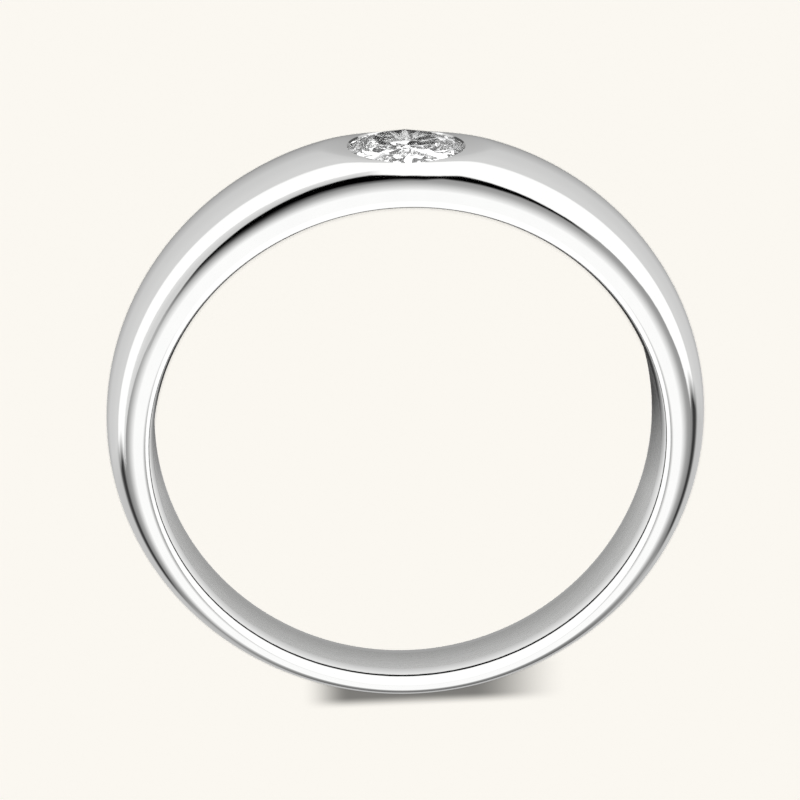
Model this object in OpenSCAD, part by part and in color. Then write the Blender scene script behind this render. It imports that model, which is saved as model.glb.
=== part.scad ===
// Flush set ring. One cast band is widest and thickest at the head, where a round
// brilliant is sunk level with the metal, and it narrows evenly to the back.
// The ring is laid out about its own axis (Z) with the stone toward -Y. It is then
// leaned so that its lower flank lies flat on Z = 0, as a ring lies on a table.

/* [Finger] */
// Inside diameter of the ring
finger_d = 17.3; // [14:0.1:22]
// Length of the rounding at each rim of the bore, along the axis
rim_len = 0.8; // [0.5:0.05:1]
// Depth of that rounding into the wall
rim_depth = 0.42; // [0.3:0.02:0.5]

/* [Band] */
// Width of the band at the stone
head_w = 5.5; // [5.3:0.1:7]
// Width of the band at the back
back_w = 2.9; // [2.4:0.1:4]
// Wall thickness at the stone
head_t = 1.93; // [1.85:0.01:2.3]
// Wall thickness at each side
side_t = 1.58; // [1.3:0.01:1.9]
// Wall thickness at the back
back_t = 0.94; // [0.8:0.02:1.4]

/* [Setting] */
// Height of the level land round the stone, above its girdle
land_h = 0.19; // [0.18:0.01:0.24]
// How far the lip reaches in over the girdle
lip_over = 0.12; // [0.1:0.01:0.15]
// Radius of the hole drilled through under the stone
drill_r = 0.45; // [0.3:0.05:0.6]
// Clearance between the stone and its seat
seat_gap = 0.04; // [0.03:0.01:0.06]

/* [Stone] */
// Diameter of the stone at its girdle
stone_d = 4.1; // [3:0.1:4.1]
// Table width as a share of the diameter
table_share = 0.57; // [0.5:0.01:0.62]
// Height of the crown, from the girdle to the table
crown_h = 0.42; // [0.38:0.01:0.45]
// Height of the girdle
girdle_h = 0.07; // [0.05:0.01:0.08]
// Depth of the pavilion, from the girdle to the culet
pavilion_h = 1.2; // [1.15:0.01:1.22]
// Height of the culet above the bore
culet_gap = 0.06; // [0.05:0.01:0.08]

/* [Hidden] */

bore_r = finger_d / 2;
flank_r = bore_r + rim_depth;
crest_r = bore_r + head_t;
stone_r = stone_d / 2;
table_r = stone_r * table_share;
// Where the star facets meet the girdle facets, and their rise above the girdle
star_r = (table_r * cos(22.5) + stone_r) / 2;
star_rise = (stone_r - star_r * cos(22.5)) * crown_h / (stone_r - table_r);

// Heights of the stone and its seat, measured from the ring's axis
girdle_low = bore_r + culet_gap + pavilion_h;
girdle_top = girdle_low + girdle_h;
table_y = girdle_top + crown_h;
land_y = girdle_top + land_h;
// Width over which the band's round turns into the level land
land_soft = 0.03;
// Clearance of the lip above the stone's crown, and thickness of its edge
lip_gap = 0.03;
lip_edge = 0.03;

// The flanks are flat, so the ring lies leaned by half of its taper
mid_w = (head_w + back_w) / 4;
taper = (head_w - back_w) / 4;
lean = atan(taper / flank_r);

// Sections stand close together beside the stone and wider apart elsewhere
head_arc = 18;
head_count = 24;
rest_count = 60;
section_angles = concat(
    [for (i = [0 : head_count - 1]) -head_arc + 2 * head_arc * i / head_count],
    [for (i = [0 : rest_count - 1]) head_arc + (360 - 2 * head_arc) * i / rest_count]);

// Angles along the outer curve, from one flank over the crest to the other
outer_angles = [-90, -80, -70, -60, -50, -44, -38, -25, -12, 0, 12, 25, 38, 44, 50, 60, 70, 80, 90];
// Angles round the rim of the bore, from the bore to the flank
rim_angles = [0, 30, 50, 70];
// Where the lower girdle facets meet, as a share of the radius
lower_share = 0.24;
// The section is drawn a little inside the bore, which is then cut as one cylinder
bore_sink = 0.03;

function half_width(a) = mid_w + taper * cos(a);
function wall(a) =
    let (mean_t = (head_t + back_t) / 2)
    mean_t + (head_t - back_t) / 2 * cos(a) + (side_t - mean_t) * (1 - cos(2 * a)) / 2;

// Section points are [distance from the ring's axis, height along it]
function outer_point(a, s) =
    [flank_r + (wall(a) - rim_depth) * cos(s), half_width(a) * sin(s)];
function rim_point(a, k, side) =
    [bore_r - bore_sink + (rim_depth + bore_sink) * (1 - cos(k)),
     side * (half_width(a) - rim_len + rim_len * sin(k))];

// The stone lies toward -Y, and the crest of the head is dressed down to one level
function placed(a, p) = [p[0] * sin(a), -p[0] * cos(a), p[1]];
function dressed(p) =
    let (over = (-p[1] - land_y) / land_soft)
    [p[0], p[1] + land_soft * (over + sqrt(over * over + 4)) / 2, p[2]];

function section(a) = concat(
    [for (s = outer_angles) dressed(placed(a, outer_point(a, s)))],
    [for (i = [len(rim_angles) - 1 : -1 : 0]) placed(a, rim_point(a, rim_angles[i], 1))],
    [for (k = rim_angles) placed(a, rim_point(a, k, -1))]);

module band_blank() {
    rings = [for (a = section_angles) section(a)];
    count = len(rings);
    size = len(rings[0]);
    polyhedron(
        points = [for (ring = rings) each ring],
        faces = [
            for (i = [0 : count - 1], j = [0 : size - 1])
                let (i2 = (i + 1) % count, j2 = (j + 1) % size)
                each [
                    [i * size + j, i * size + j2, i2 * size + j2],
                    [i * size + j, i2 * size + j2, i2 * size + j]]
        ]);
}

// Turned shape of the seat: drill hole, cone under the pavilion, wall, lip and its bright bevel
module seat_cut() {
    wall_r = stone_r + seat_gap;
    wall_top = girdle_top + seat_gap / 2;
    lip_r = stone_r - lip_over;
    lip_low = girdle_top + lip_over * star_rise / (stone_r - star_r) + lip_gap;
    lip_high = lip_low + lip_edge;
    cone_top = girdle_low - seat_gap;
    cone_low = cone_top - (wall_r - drill_r) * pavilion_h / stone_r;
    above = crest_r + 1;
    below = bore_r - 1;
    rotate([90, 0, 0])
        rotate_extrude($fn = 96)
            polygon([
                [0, below], [drill_r, below], [drill_r, cone_low], [wall_r, cone_top],
                [wall_r, wall_top], [lip_r, lip_low], [lip_r, lip_high],
                [lip_r + above - lip_high, above], [0, above]]);
}

// Turn by the lean about X, as the ring tips over onto its lower flank
function leaned(p) = [
    p[0],
    p[1] * cos(lean) + p[2] * sin(lean),
    p[2] * cos(lean) - p[1] * sin(lean)];

// The origin is the middle of the footprint, from the stone's table to the back
table_front = min([for (side = [-1, 1]) leaned([0, -table_y, side * table_r])[1]]);
band_reach = [for (a = section_angles, p = section(a)) leaned(p)[1]];
front_y = min(table_front, min(band_reach));
back_y = max(band_reach);

module lying() {
    translate([0, -(front_y + back_y) / 2, mid_w * cos(lean)])
        rotate([-lean, 0, 0])
            children();
}

module ring_band() {
    color("silver")
        lying()
            difference() {
                band_blank();
                cylinder(h = 2 * head_w, r = bore_r, center = true, $fn = 180);
                seat_cut();
            }
}

// Round brilliant with the lower edge of its girdle at height 0 and its table upward
module brilliant() {
    lower_r = lower_share * stone_r;
    lower_h = -(stone_r - lower_r * cos(22.5)) * pavilion_h / stone_r;
    points = concat(
        [for (a = [0 : 45 : 315]) [table_r * cos(a), table_r * sin(a), girdle_h + crown_h]],
        [for (a = [22.5 : 45 : 337.5]) [star_r * cos(a), star_r * sin(a), girdle_h + star_rise]],
        [for (a = [0 : 22.5 : 337.5], z = [0, girdle_h]) [stone_r * cos(a), stone_r * sin(a), z]],
        [for (a = [22.5 : 45 : 337.5]) [lower_r * cos(a), lower_r * sin(a), lower_h]],
        [[0, 0, -pavilion_h]]);
    hull()
        polyhedron(points = points, faces = [for (i = [0 : len(points) - 3]) [i, i + 1, i + 2]]);
}

module round_stone() {
    color("white")
        lying()
            translate([0, -girdle_low, 0])
                rotate([90, 0, 0])
                    brilliant();
}

ring_band();
round_stone();
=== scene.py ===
from math import atan, atan2, cos, hypot, pi, radians, sin

import bmesh
import bpy
from mathutils import Matrix, Vector


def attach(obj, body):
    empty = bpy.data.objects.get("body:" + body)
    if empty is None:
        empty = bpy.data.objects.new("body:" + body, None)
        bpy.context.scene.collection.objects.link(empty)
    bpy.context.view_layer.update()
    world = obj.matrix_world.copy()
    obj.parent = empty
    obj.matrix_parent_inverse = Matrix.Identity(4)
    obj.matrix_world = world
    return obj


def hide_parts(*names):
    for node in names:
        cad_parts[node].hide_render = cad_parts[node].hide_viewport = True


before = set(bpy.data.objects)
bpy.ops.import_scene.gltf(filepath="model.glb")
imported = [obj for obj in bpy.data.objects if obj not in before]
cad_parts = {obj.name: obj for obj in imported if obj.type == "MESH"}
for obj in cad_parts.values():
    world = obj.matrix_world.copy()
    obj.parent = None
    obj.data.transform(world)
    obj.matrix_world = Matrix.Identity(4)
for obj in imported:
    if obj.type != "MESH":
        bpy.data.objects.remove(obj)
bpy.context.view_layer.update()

mm = 0.001


# The band: one casting in white gold, turned smooth and polished all over, with a satin bore.
# It is widest and thickest at the head, and the flanks lean in evenly towards the back.
class Shade:
    """A socket of a shader: sums, differences and products written on it become Math nodes."""

    def __init__(self, tree, socket=None):
        self.tree = tree
        self.socket = socket

    def node(self, kind, inputs=None, settings=None, stops=None, out=0):
        made = self.tree.nodes.new(kind)
        for name, value in (settings or {}).items():
            setattr(made, name, value)
        if stops:
            ramp = made.color_ramp
            while len(ramp.elements) < len(stops):
                ramp.elements.new(0.5)
            for stop, (place, tone) in zip(ramp.elements, stops):
                stop.position = place
                stop.color = (tone, tone, tone, 1)
        for name, value in (inputs or {}).items():
            if isinstance(value, Shade):
                self.tree.links.new(value.socket, made.inputs[name])
            else:
                made.inputs[name].default_value = value
        return Shade(self.tree, made.outputs[out] if made.outputs else None)

    def maths(self, operation, first, second):
        return self.node("ShaderNodeMath", {0: first, 1: second}, {"operation": operation})

    def __add__(self, other):
        return self.maths("ADD", self, other)

    def __radd__(self, other):
        return self.maths("ADD", other, self)

    def __sub__(self, other):
        return self.maths("SUBTRACT", self, other)

    def __rsub__(self, other):
        return self.maths("SUBTRACT", other, self)

    def __mul__(self, other):
        return self.maths("MULTIPLY", self, other)

    def __rmul__(self, other):
        return self.maths("MULTIPLY", other, self)


def blend(share, first, second):
    """The first colour where the share is 0, the second where it is 1."""
    return share.node("ShaderNodeMix", {0: share, 6: first, 7: second}, {"data_type": "RGBA"}, out=2)


def new_finish(name):
    """A material with nothing in it, a Shade to build on, and the place on the piece."""
    made = bpy.data.materials.new(name)
    made.use_nodes = True
    made.node_tree.nodes.clear()
    shade = Shade(made.node_tree)
    return made, shade, shade.node("ShaderNodeTexCoord", out=3)


def new_piece(name, shape, finishes):
    """A mesh object at the origin, made from a bmesh."""
    mesh = bpy.data.meshes.new(name)
    shape.to_mesh(mesh)
    shape.free()
    for finish in finishes:
        mesh.materials.append(finish)
    piece = bpy.data.objects.new(name, mesh)
    bpy.context.scene.collection.objects.link(piece)
    return piece


def polished_gold():
    finish, shade, place = new_finish("polished_white_gold")
    wear = shade.node("ShaderNodeTexNoise", {"Vector": place, "Scale": 900.0, "Detail": 4.0})
    along = shade.node("ShaderNodeMapping", {"Vector": place, "Scale": (1.0, 1.0, 9.0)})
    hairlines = shade.node("ShaderNodeTexNoise", {"Vector": along, "Scale": 2500.0, "Detail": 3.0})
    ripple = shade.node("ShaderNodeBump", {"Height": hairlines, "Strength": 0.02, "Distance": 0.02 * mm})
    surface = shade.node("ShaderNodeBsdfPrincipled", {
        "Base Color": blend(wear, (0.86, 0.86, 0.855, 1), (0.9, 0.9, 0.89, 1)),
        "Metallic": 1.0, "Roughness": 0.03 + 0.05 * wear, "Normal": ripple})
    shade.node("ShaderNodeOutputMaterial", {"Surface": surface})
    return finish


def satin_gold():
    finish, shade, place = new_finish("satin_white_gold")
    along = shade.node("ShaderNodeMapping", {"Vector": place, "Scale": (1.0, 1.0, 14.0)})
    grain = shade.node("ShaderNodeTexNoise", {"Vector": along, "Scale": 1800.0, "Detail": 5.0})
    brushing = shade.node("ShaderNodeBump", {"Height": grain, "Strength": 0.15, "Distance": 0.02 * mm})
    surface = shade.node("ShaderNodeBsdfPrincipled", {
        "Base Color": blend(grain, (0.8, 0.8, 0.79, 1), (0.9, 0.9, 0.885, 1)),
        "Metallic": 1.0, "Roughness": 0.22 + 0.12 * grain, "Normal": brushing})
    shade.node("ShaderNodeOutputMaterial", {"Surface": surface})
    return finish


def bright_cut_gold():
    finish, shade, place = new_finish("bright_cut_white_gold")
    wear = shade.node("ShaderNodeTexNoise", {"Vector": place, "Scale": 1500.0, "Detail": 3.0})
    surface = shade.node("ShaderNodeBsdfPrincipled", {
        "Base Color": blend(wear, (0.86, 0.86, 0.855, 1), (0.93, 0.93, 0.92, 1)),
        "Metallic": 1.0, "Roughness": 0.005 + 0.01 * wear})
    shade.node("ShaderNodeOutputMaterial", {"Surface": surface})
    return finish


bore_r = 8.65 * mm
rim_len = 0.8 * mm
rim_depth = 0.42 * mm
flank_r = bore_r + rim_depth
head_t = 1.93 * mm
side_t = 1.58 * mm
back_t = 0.94 * mm
mean_t = (head_t + back_t) / 2
mid_w = 2.1 * mm
taper = 0.65 * mm
lean = atan(taper / flank_r)

# The crest of the head is dressed down to one level land, a little above the stone's girdle.
culet_gap = 0.06 * mm
pavilion_h = 1.2 * mm
girdle_h = 0.07 * mm
girdle_low = bore_r + culet_gap + pavilion_h
girdle_top = girdle_low + girdle_h
land_h = 0.19 * mm
land_y = girdle_top + land_h
land_soft = 0.03 * mm

# Swing runs round the section, from the crest over the flank and the rim to the bore's middle.
flank_swing = 0.5 * pi
bore_swing = 0.75 * pi


def half_width(turn):
    """Half of the band's width, this far round the finger from the stone."""
    return mid_w + taper * cos(turn)


def wall(turn):
    """The thickness of the metal there, from the bore to the crest."""
    return mean_t + (head_t - back_t) / 2 * cos(turn) + (side_t - mean_t) * (1 - cos(2 * turn)) / 2


def band_point(turn, swing):
    """A point of the band, the stone's side at turn 0."""
    side = 1 if swing > 0 else -1
    swing = abs(swing)
    if swing <= flank_swing:
        out = flank_r + (wall(turn) - rim_depth) * cos(swing)
        along = half_width(turn) * sin(swing)
    elif swing <= bore_swing:
        rim_turn = 2 * (bore_swing - swing)
        out = bore_r + rim_depth * (1 - cos(rim_turn))
        along = half_width(turn) - rim_len * (1 - sin(rim_turn))
    else:
        out = bore_r
        along = (half_width(turn) - rim_len) * (pi - swing) / (pi - bore_swing)
    point = Vector((out * sin(turn), -out * cos(turn), side * along))
    if swing <= flank_swing:
        over = (-point.y - land_y) / land_soft
        point.y += land_soft * (over + hypot(over, 2)) / 2
    return point


# The ring lies leaned on its lower flank, with its footprint's middle at the origin. The middle
# of the finger hole is a little behind that, because the head reaches farther than the back.
hole_y = 0.44062 * mm
lying = Matrix.Translation((0, hole_y, mid_w * cos(lean))) @ Matrix.Rotation(-lean, 4, "X")

# A plain hoop is spun first. Each of its points then moves to its place on the band, and the
# sections are crowded towards the head, where the seat is cut.
hoop_r = 10
section_steps = 176
ring_steps = 440
crowding = 0.62
polished, satin, bright_cut = range(3)
band = bmesh.new()
bmesh.ops.create_circle(
    band, segments=section_steps, radius=1,
    matrix=Matrix.Translation((hoop_r, 0, 0)) @ Matrix.Rotation(pi / 2, 4, "X"))
bmesh.ops.spin(band, geom=band.verts[:] + band.edges[:], cent=(0, 0, 0), axis=(0, 0, 1),
               dvec=(0, 0, 0), angle=2 * pi, steps=ring_steps, use_merge=True)
bmesh.ops.remove_doubles(band, verts=band.verts[:], dist=0.0001)
for face in band.faces:
    middle = face.calc_center_median()
    swing = atan2(middle.z, hypot(middle.x, middle.y) - hoop_r)
    face.material_index = satin if abs(swing) > bore_swing else polished
    face.smooth = True
for vert in band.verts:
    even = atan2(vert.co.y, vert.co.x)
    swing = atan2(vert.co.z, hypot(vert.co.x, vert.co.y) - hoop_r)
    vert.co = band_point(even - crowding * sin(even), swing)
bmesh.ops.recalc_face_normals(band, faces=band.faces[:])
ring = new_piece("ring_band_polished", band, [polished_gold(), satin_gold(), bright_cut_gold()])


# The seat: cut into the head with a setting burr, a cone under the pavilion, a wall round the
# girdle and a lip pressed over it, and a small hole drilled through to the bore. It is left
# bright from the cutter.
stone_r = 2.05 * mm
crown_h = 0.42 * mm
table_share = 0.57
table_r = table_share * stone_r
half_facet = pi / 8
star_r = (table_r * cos(half_facet) + stone_r) / 2
star_rise = crown_h * (stone_r - star_r * cos(half_facet)) / (stone_r - table_r)
slope = pavilion_h / stone_r

seat_gap = 0.04 * mm
wall_r = stone_r + seat_gap
wall_top = girdle_top + seat_gap / 2
lip_over = 0.12 * mm
lip_gap = 0.03 * mm
lip_edge = 0.03 * mm
lip_r = stone_r - lip_over
lip_low = girdle_top + lip_over * star_rise / (stone_r - star_r) + lip_gap
lip_high = lip_low + lip_edge
drill_r = 0.45 * mm
cone_top = girdle_low - seat_gap
cone_low = cone_top - (wall_r - drill_r) * slope
burr_spare = 1 * mm
above = bore_r + head_t + burr_spare
below = bore_r - burr_spare
sharp_edge = radians(35)

burr = bmesh.new()
profile = [
    (0, below), (drill_r, below), (drill_r, cone_low), (wall_r, cone_top), (wall_r, wall_top),
    (lip_r, lip_low), (lip_r, lip_high), (lip_r + above - lip_high, above), (0, above)]
corners = [burr.verts.new((out, -height, 0)) for out, height in profile]
for first, second in zip(corners, corners[1:]):
    burr.edges.new((first, second))
bmesh.ops.spin(burr, geom=burr.verts[:] + burr.edges[:], cent=(0, 0, 0), axis=(0, 1, 0),
               dvec=(0, 0, 0), angle=2 * pi, steps=160, use_merge=True)
bmesh.ops.remove_doubles(burr, verts=burr.verts[:], dist=0.0001 * mm)
bmesh.ops.recalc_face_normals(burr, faces=burr.faces[:])
for face in burr.faces:
    face.smooth = True
    face.material_index = bright_cut
burr_tool = new_piece("setting_burr", burr, ring.data.materials)
cut = ring.modifiers.new("seat", "BOOLEAN")
cut.object = burr_tool
cut.operation = "DIFFERENCE"
cut.solver = "EXACT"
shaped = bpy.data.meshes.new_from_object(ring.evaluated_get(bpy.context.evaluated_depsgraph_get()))
ring.modifiers.clear()
ring.data = shaped
bpy.data.objects.remove(burr_tool)
ring.data.set_sharp_from_angle(angle=sharp_edge)
ring.data.transform(lying)
ring.visible_diffuse = False
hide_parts("ring_band")
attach(ring, "root")


# The stone: a round brilliant, clear, with a table, eight mains, stars and a cut girdle. It lies
# in its seat with the table a little above the metal.
def clear_stone():
    finish, shade, place = new_finish("cut_clear_stone")
    cloud = shade.node("ShaderNodeTexNoise", {"Vector": place, "Scale": 700.0, "Detail": 3.0})
    surface = shade.node("ShaderNodeBsdfPrincipled", {
        "Base Color": blend(cloud, (0.98, 0.985, 0.99, 1), (1.0, 1.0, 1.0, 1)),
        "Roughness": 0.0, "IOR": 2.42, "Transmission Weight": 1.0})
    shade.node("ShaderNodeOutputMaterial", {"Surface": surface})
    return finish


lower_share = 0.24
lower_r = lower_share * stone_r
lower_h = (stone_r - lower_r * cos(half_facet)) * slope
flat_facet = radians(0.3)
tiers = [
    (8, 0, table_r, crown_h + girdle_h), (8, half_facet, star_r, star_rise + girdle_h),
    (16, 0, stone_r, girdle_h), (16, 0, stone_r, 0), (8, half_facet, lower_r, -lower_h)]
brilliant = bmesh.new()
for count, turn, radius, high in tiers:
    bmesh.ops.create_circle(
        brilliant, segments=count, radius=radius,
        matrix=Matrix.Translation((0, 0, high)) @ Matrix.Rotation(turn, 4, "Z"))
brilliant.verts.new((0, 0, -pavilion_h))
bmesh.ops.convex_hull(brilliant, input=brilliant.verts[:])
bmesh.ops.dissolve_limit(brilliant, angle_limit=flat_facet, verts=brilliant.verts[:],
                         edges=brilliant.edges[:])
bmesh.ops.recalc_face_normals(brilliant, faces=brilliant.faces[:])
seated = lying @ Matrix.Translation((0, -girdle_low, 0)) @ Matrix.Rotation(pi / 2, 4, "X")
bmesh.ops.transform(brilliant, matrix=seated, verts=brilliant.verts[:])
stone = new_piece("round_stone_cut", brilliant, [clear_stone()])
stone.visible_diffuse = False
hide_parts("round_stone")
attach(stone, "root")


# The floor: a plain pale sheet. Part of its light comes from the lamp and the rest from itself,
# even all over, so the ring's own shadow is faint. A soft shadow behind the ring is painted into its
# colour.
pale_light = (0.965, 0.938, 0.88, 1)
painted_shadow_strength = 0.8
lamp_x = 5.8 * mm
lamp_y = -33.3 * mm
lamp_z = 117.2 * mm
lamp_distance = 122 * mm
lamp_share = 0.4


def between(value, low, high, smooth=False):
    """0 where the value is low and 1 where it is high. Low may be the larger of the two."""
    kind = {"interpolation_type": "SMOOTHSTEP"} if smooth else {}
    return value.node("ShaderNodeMapRange", {"Value": value, "From Min": low, "From Max": high}, kind)


def parts_of(vector):
    """The x, y and z of a vector."""
    split = vector.node("ShaderNodeSeparateXYZ", {"Vector": vector})
    return [Shade(split.tree, part) for part in split.socket.node.outputs]


def pale_sheet():
    finish, shade, place = new_finish("pale_sheet")
    x, y = parts_of(place)[:2]
    # A soft shadow is painted into the sheet's colour close behind the ring's back, fading at both ends.
    behind = between(y - 0.021 * x, 11.36 * mm, 10.9 * mm, smooth=True) * between(y, 9.2 * mm, 9.8 * mm)
    one_end = between(x, 3.7 * mm, 1.95 * mm, smooth=True)
    other_end = between(x, -5.95 * mm, -2.4 * mm, smooth=True)
    painted_shadow = painted_shadow_strength * (behind * one_end * other_end)
    # The lamp lights the sheet less farther off, with the cube of the distance.
    over = x - lamp_x
    ahead = y - lamp_y
    spread = (over * over + ahead * ahead + lamp_z ** 2) * (1 / lamp_distance ** 2)
    from_lamp = lamp_share * shade.maths("POWER", spread, -1.5)
    from_sheet = blend(from_lamp, pale_light, (0.0, 0.0, 0.0, 1))
    surface = shade.node("ShaderNodeBsdfPrincipled", {
        "Base Color": blend(painted_shadow, (0.86, 0.835, 0.785, 1), (0.02, 0.02, 0.02, 1)),
        "Roughness": 0.9, "Specular IOR Level": 0.0,
        "Emission Color": blend(painted_shadow, from_sheet, (0.01, 0.01, 0.01, 1)), "Emission Strength": 1.0})
    shade.node("ShaderNodeOutputMaterial", {"Surface": surface})
    return finish


sheet_r = 3
sheet = bmesh.new()
bmesh.ops.create_circle(sheet, cap_ends=True, segments=96, radius=sheet_r)
floor = new_piece("floor", sheet, [pale_sheet()])
floor.visible_glossy = False
floor.visible_transmission = False


# The table card: what the polish reflects instead of the floor. It is grey close to the metal, a
# painted shade of the floor by the ring; farther off it is white on the stone's side, dark at both
# sides and grey behind the back. Inside the ring it is white at the middle, with painted shade,
# grey or dark, by the metal.
white = 1.15
table_reach = 50 * mm


def larger(first, second):
    return first.maths("MAXIMUM", first, second)


def graded(value, stops):
    """A grey that follows the value from stop to stop."""
    return value.node("ShaderNodeValToRGB", {"Fac": value}, stops=stops)


def off_camera(card):
    """A studio card that only the polish reflects."""
    card.visible_camera = False
    card.visible_diffuse = False
    card.visible_transmission = False
    card.visible_shadow = False


def table_glow():
    finish, shade, place = new_finish("table_glow")
    x, y = parts_of(place)[:2]
    reach = shade.maths("SQRT", x * x + y * y, 0.0)
    share = reach * (1 / table_reach)
    # Close to the metal each grade starts grey: painted shade of the floor by the ring.
    front = graded(share, [
        (0.2, 0.3), (0.212, 0.45), (0.24, 0.66), (0.3, 0.73), (0.352, 0.74), (0.37, white)])
    side = graded(share, [
        (0.2, 0.4), (0.22, 0.6), (0.3, 0.6), (0.35, 0.1), (0.42, 0.03), (0.5, 0.06),
        (0.6, 0.15), (0.8, 0.27), (1.0, 0.3)])
    back = graded(share, [(0.2, 0.4), (0.22, 0.55), (0.36, 0.52), (0.6, 0.33), (1.0, 0.3)])
    way = shade.maths("DIVIDE", y - 0.1 * x, reach)
    late = graded(share, [(0.45, 0.0), (1.0, 0.15)])
    beside = between(way - late, 0.08, 0.2)
    behind = between(way, 0.6, 0.75)
    outside = blend(behind, blend(beside, front, side), back)
    # Inside the ring the dark and grey by the metal is painted shade.
    hollow_front = graded(share, [(0.0, white), (0.09, white), (0.1, 0.05), (0.17, 0.04)])
    hollow_back = graded(share, [(0.0, 1.1), (0.12, 0.85), (0.155, 0.64), (0.172, 0.3)])
    hollow = blend(between(y, 0.0, 3 * mm), hollow_front, hollow_back)
    whole = blend(between(reach, 8.7 * mm, 8.5 * mm), outside, hollow)
    # A painted shade: a small dark patch on the card just outside the head, in front of the stone.
    narrow = between(shade.maths("ABSOLUTE", x, 0.0), 1.3 * mm, 1.1 * mm)
    painted_shade_under_stone = narrow * between(y, -12.3 * mm, -11.9 * mm) * between(y, -10.45 * mm, -10.55 * mm)
    glow = shade.node("ShaderNodeEmission", {"Color": blend(painted_shade_under_stone, whole, (0.1, 0.1, 0.1, 1))})
    shade.node("ShaderNodeOutputMaterial", {"Surface": glow})
    return finish


table_drop = 0.02 * mm
table = bmesh.new()
bmesh.ops.create_circle(table, cap_ends=True, segments=96, radius=sheet_r)
bmesh.ops.translate(table, verts=table.verts[:], vec=(0, 0, -table_drop))
off_camera(new_piece("table_card", table, [table_glow()]))


# The fence: a low grey card that stands behind the back of the ring, a little way off the metal.
# It fades out towards its top and its ends.
fence_r = 16 * mm
fence_h = 8 * mm
fence_start = radians(40)
fence_turn = radians(105)


def fence_glow():
    finish, shade, place = new_finish("fence_glow")
    x, y, z = parts_of(place)
    tone = graded(z * (1 / fence_h), [(0.0, 0.1), (0.35, 0.22), (1.0, 0.45)])
    glow = shade.node("ShaderNodeEmission", {"Color": tone})
    clear = shade.node("ShaderNodeBsdfTransparent")
    ends = between(y - 0.15 * x, 12 * mm, 15 * mm)
    top = between(z, fence_h, 4.5 * mm)
    faded = shade.node("ShaderNodeMixShader", {0: ends * top, 1: clear, 2: glow})
    shade.node("ShaderNodeOutputMaterial", {"Surface": faded})
    return finish


fence = bmesh.new()
post_x = fence_r * cos(fence_start)
post_y = fence_r * sin(fence_start)
post_foot = fence.verts.new((post_x, post_y, 0))
post_head = fence.verts.new((post_x, post_y, fence_h))
post = fence.edges.new((post_foot, post_head))
bmesh.ops.spin(fence, geom=[post_foot, post_head, post], cent=(0, 0, 0), axis=(0, 0, 1),
               dvec=(0, 0, 0), angle=fence_turn, steps=40)
off_camera(new_piece("fence_card", fence, [fence_glow()]))


# The core: a white tube that stands inside the ring, with a dark foot. The rounded rim of the bore
# reflects its outer face. Seen from inside, it is clear.
core_r = 4.5 * mm
core_h = 12 * mm
core_foot = 0.9 * mm
core_fade = 0.2 * mm


def core_glow():
    finish, shade, place = new_finish("core_glow")
    z = parts_of(place)[2]
    tone = between(z, core_foot, core_foot + core_fade) * white
    glow = shade.node("ShaderNodeEmission", {"Color": tone})
    clear = shade.node("ShaderNodeBsdfTransparent")
    inner_face = shade.node("ShaderNodeNewGeometry", out=6)
    one_sided = shade.node("ShaderNodeMixShader", {0: 1 - inner_face, 1: clear, 2: glow})
    shade.node("ShaderNodeOutputMaterial", {"Surface": one_sided})
    return finish


core = bmesh.new()
bmesh.ops.create_cone(core, cap_ends=False, segments=96, radius1=core_r, radius2=core_r, depth=core_h,
                      matrix=Matrix.Translation((0, 0, core_h / 2)))
bmesh.ops.recalc_face_normals(core, faces=core.faces[:])
off_camera(new_piece("core_card", core, [core_glow()]))


# The sky: a soft white ceiling, tipped towards the back of the ring, that dims low down at one
# side of the stone. A long black flag hangs low on the stone's side, over a horizon that is white
# towards -X and pale grey towards +X.
world = bpy.data.worlds.new("studio")
bpy.context.scene.world = world
world.use_nodes = True
world.node_tree.nodes.clear()
sky = Shade(world.node_tree)
toward = sky.node("ShaderNodeTexCoord", out=0)
x, y, z = parts_of(toward)
across = 0.5 + 0.5 * x


def lean_to(turn, tilt):
    """1 for a ray at this turn from the stone's side and tilt from overhead, less for others."""
    axis = (sin(tilt) * sin(turn), -sin(tilt) * cos(turn), cos(tilt))
    return sky.node("ShaderNodeVectorMath", {0: toward, 1: axis}, {"operation": "DOT_PRODUCT"}, out=1)


ceiling = graded(lean_to(radians(180), radians(17)), [
    (0.0, 0.33), (0.24, 0.36), (0.33, 0.41), (0.39, 0.48), (0.5, 0.64), (0.6, 0.79), (0.7, 0.95),
    (0.77, 1.1)])
dusk = graded(lean_to(radians(45), radians(70)), [
    (0.8, 1.0), (0.88, 0.87), (0.93, 0.73), (0.96, 0.52), (0.98, 0.3), (1.0, 0.03)])
flag_ends = graded(across, [(0.09, 1.0), (0.13, 0.0), (0.92, 0.0), (0.95, 1.0)])
flag_top = graded(across, [
    (0.1, 0.385), (0.4, 0.4), (0.44, 0.5), (0.55, 0.5), (0.62, 0.48), (0.9, 0.45)])
flag_haze = graded(across, [(0.1, 0.03), (0.42, 0.035), (0.5, 0.08), (0.9, 0.07)])
over_flag = between(sky.maths("DIVIDE", z - flag_top, flag_haze), -1.0, 1.0)
past_flag = larger(larger(flag_ends, over_flag), between(y, 0.0, 0.1))
horizon_top = graded(across, [
    (0.0, 0.12), (0.03, 0.233), (0.108, 0.292), (0.16, 0.28), (0.29, 0.19), (0.355, 0.155),
    (0.405, 0.275), (0.44, 0.31), (0.49, 0.305), (0.57, 0.155), (0.7, 0.17), (0.84, 0.25),
    (0.93, 0.326), (0.945, 0.39)])
horizon_fall = 0.75
horizon_top = horizon_top - horizon_fall * larger(y, 0.0)
horizon_haze = 0.025
horizon = between((z - horizon_top) * (1 / horizon_haze), 1.0, -1.0, smooth=True)
horizon_tone = graded(across, [(0.54, white), (0.6, 0.57), (0.72, 0.57), (0.85, 0.68), (1.0, 0.75)])
horizon_tone = blend(between(z, 0.2, 0.0), horizon_tone, larger(horizon_tone, 0.85))
whole_sky = larger(ceiling * dusk * past_flag, horizon * horizon_tone)

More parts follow.
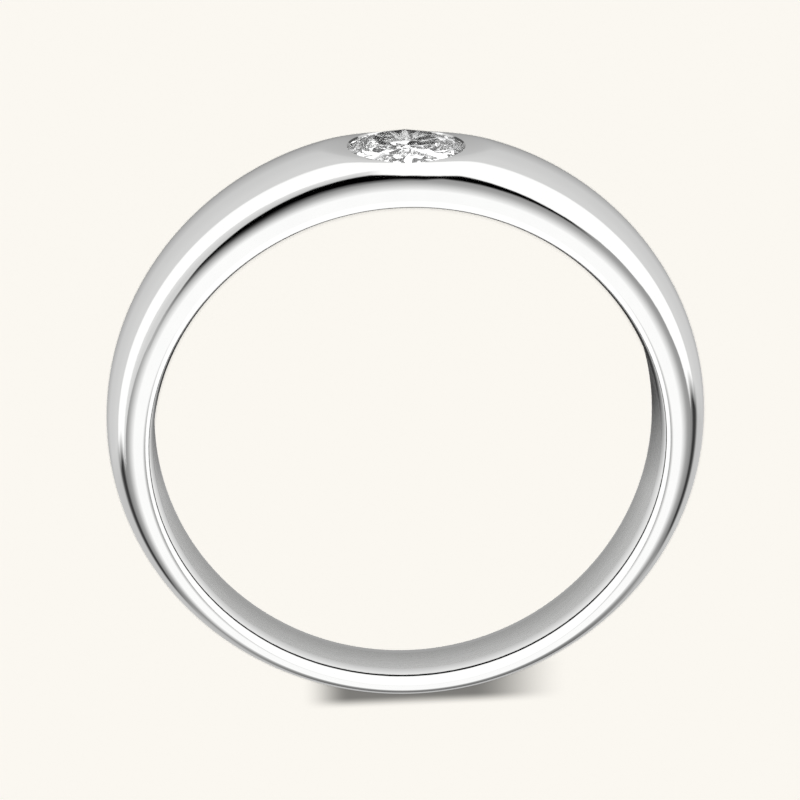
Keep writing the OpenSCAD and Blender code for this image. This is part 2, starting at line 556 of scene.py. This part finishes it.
# Light that has passed through the stone meets lamps and gaps by turns, so its facets flash. The
# camera itself sees the same pale light as on the floor.
flash_from = (4.0, 4.0, 7.0)
flash_strength = 1.7
moved = sky.node("ShaderNodeVectorMath", {0: toward, 1: flash_from}, {"operation": "ADD"})
lamps = sky.node("ShaderNodeTexNoise", {"Vector": moved, "Scale": 4.5, "Detail": 0.0})
reflected = sky.node("ShaderNodeBackground", {"Color": whole_sky})
sparkle = sky.node("ShaderNodeBackground", {"Color": between(lamps, 0.45, 0.52) * flash_strength})
seen = sky.node("ShaderNodeBackground", {"Color": pale_light})
through_stone = sky.node("ShaderNodeLightPath", out=6)
from_camera = sky.node("ShaderNodeLightPath", out=0)
bounced = sky.node("ShaderNodeMixShader", {0: through_stone, 1: reflected, 2: sparkle})
shown = sky.node("ShaderNodeMixShader", {0: from_camera, 1: bounced, 2: seen})
sky.node("ShaderNodeOutputWorld", {"Surface": shown})
world.cycles_visibility.diffuse = False


# The lamp: one small soft lamp beside the camera, so the ring's shadow falls behind the ring. It
# lights the floor alone.
lamp = bpy.data.lights.new("softbox", "POINT")
lamp.energy = 0.274
lamp.shadow_soft_size = 3 * mm
softbox = bpy.data.objects.new("softbox", lamp)
softbox.matrix_world = Matrix.Translation((lamp_x, lamp_y, lamp_z))
bpy.context.scene.collection.objects.link(softbox)
softbox.visible_camera = False
softbox.visible_glossy = False
softbox.visible_transmission = False


# The camera, at the photograph's angle to the ring. Light is followed for many bounces between the
# polished faces, and for few through the stone, which keeps its facets crisp.
lens = bpy.data.cameras.new("camera")
lens.sensor_width = 36
lens.lens = 157.2
lens.clip_start = 0.01
camera = bpy.data.objects.new("camera", lens)
spot = Vector((5.792, -33.340, 117.2)) * mm
aim = Vector((0.208, -0.687, 2.175)) * mm
roll = radians(169.70)
level = (aim - spot).to_track_quat("-Z", "Y").to_matrix().to_4x4()
camera.matrix_world = Matrix.Translation(spot) @ level @ Matrix.Rotation(roll, 4, "Z")
bpy.context.scene.collection.objects.link(camera)
bpy.context.scene.camera = camera
bpy.context.scene.view_settings.view_transform = "Standard"
bpy.context.scene.cycles.max_bounces = 32
bpy.context.scene.cycles.glossy_bounces = 24
bpy.context.scene.cycles.transmission_bounces = 5
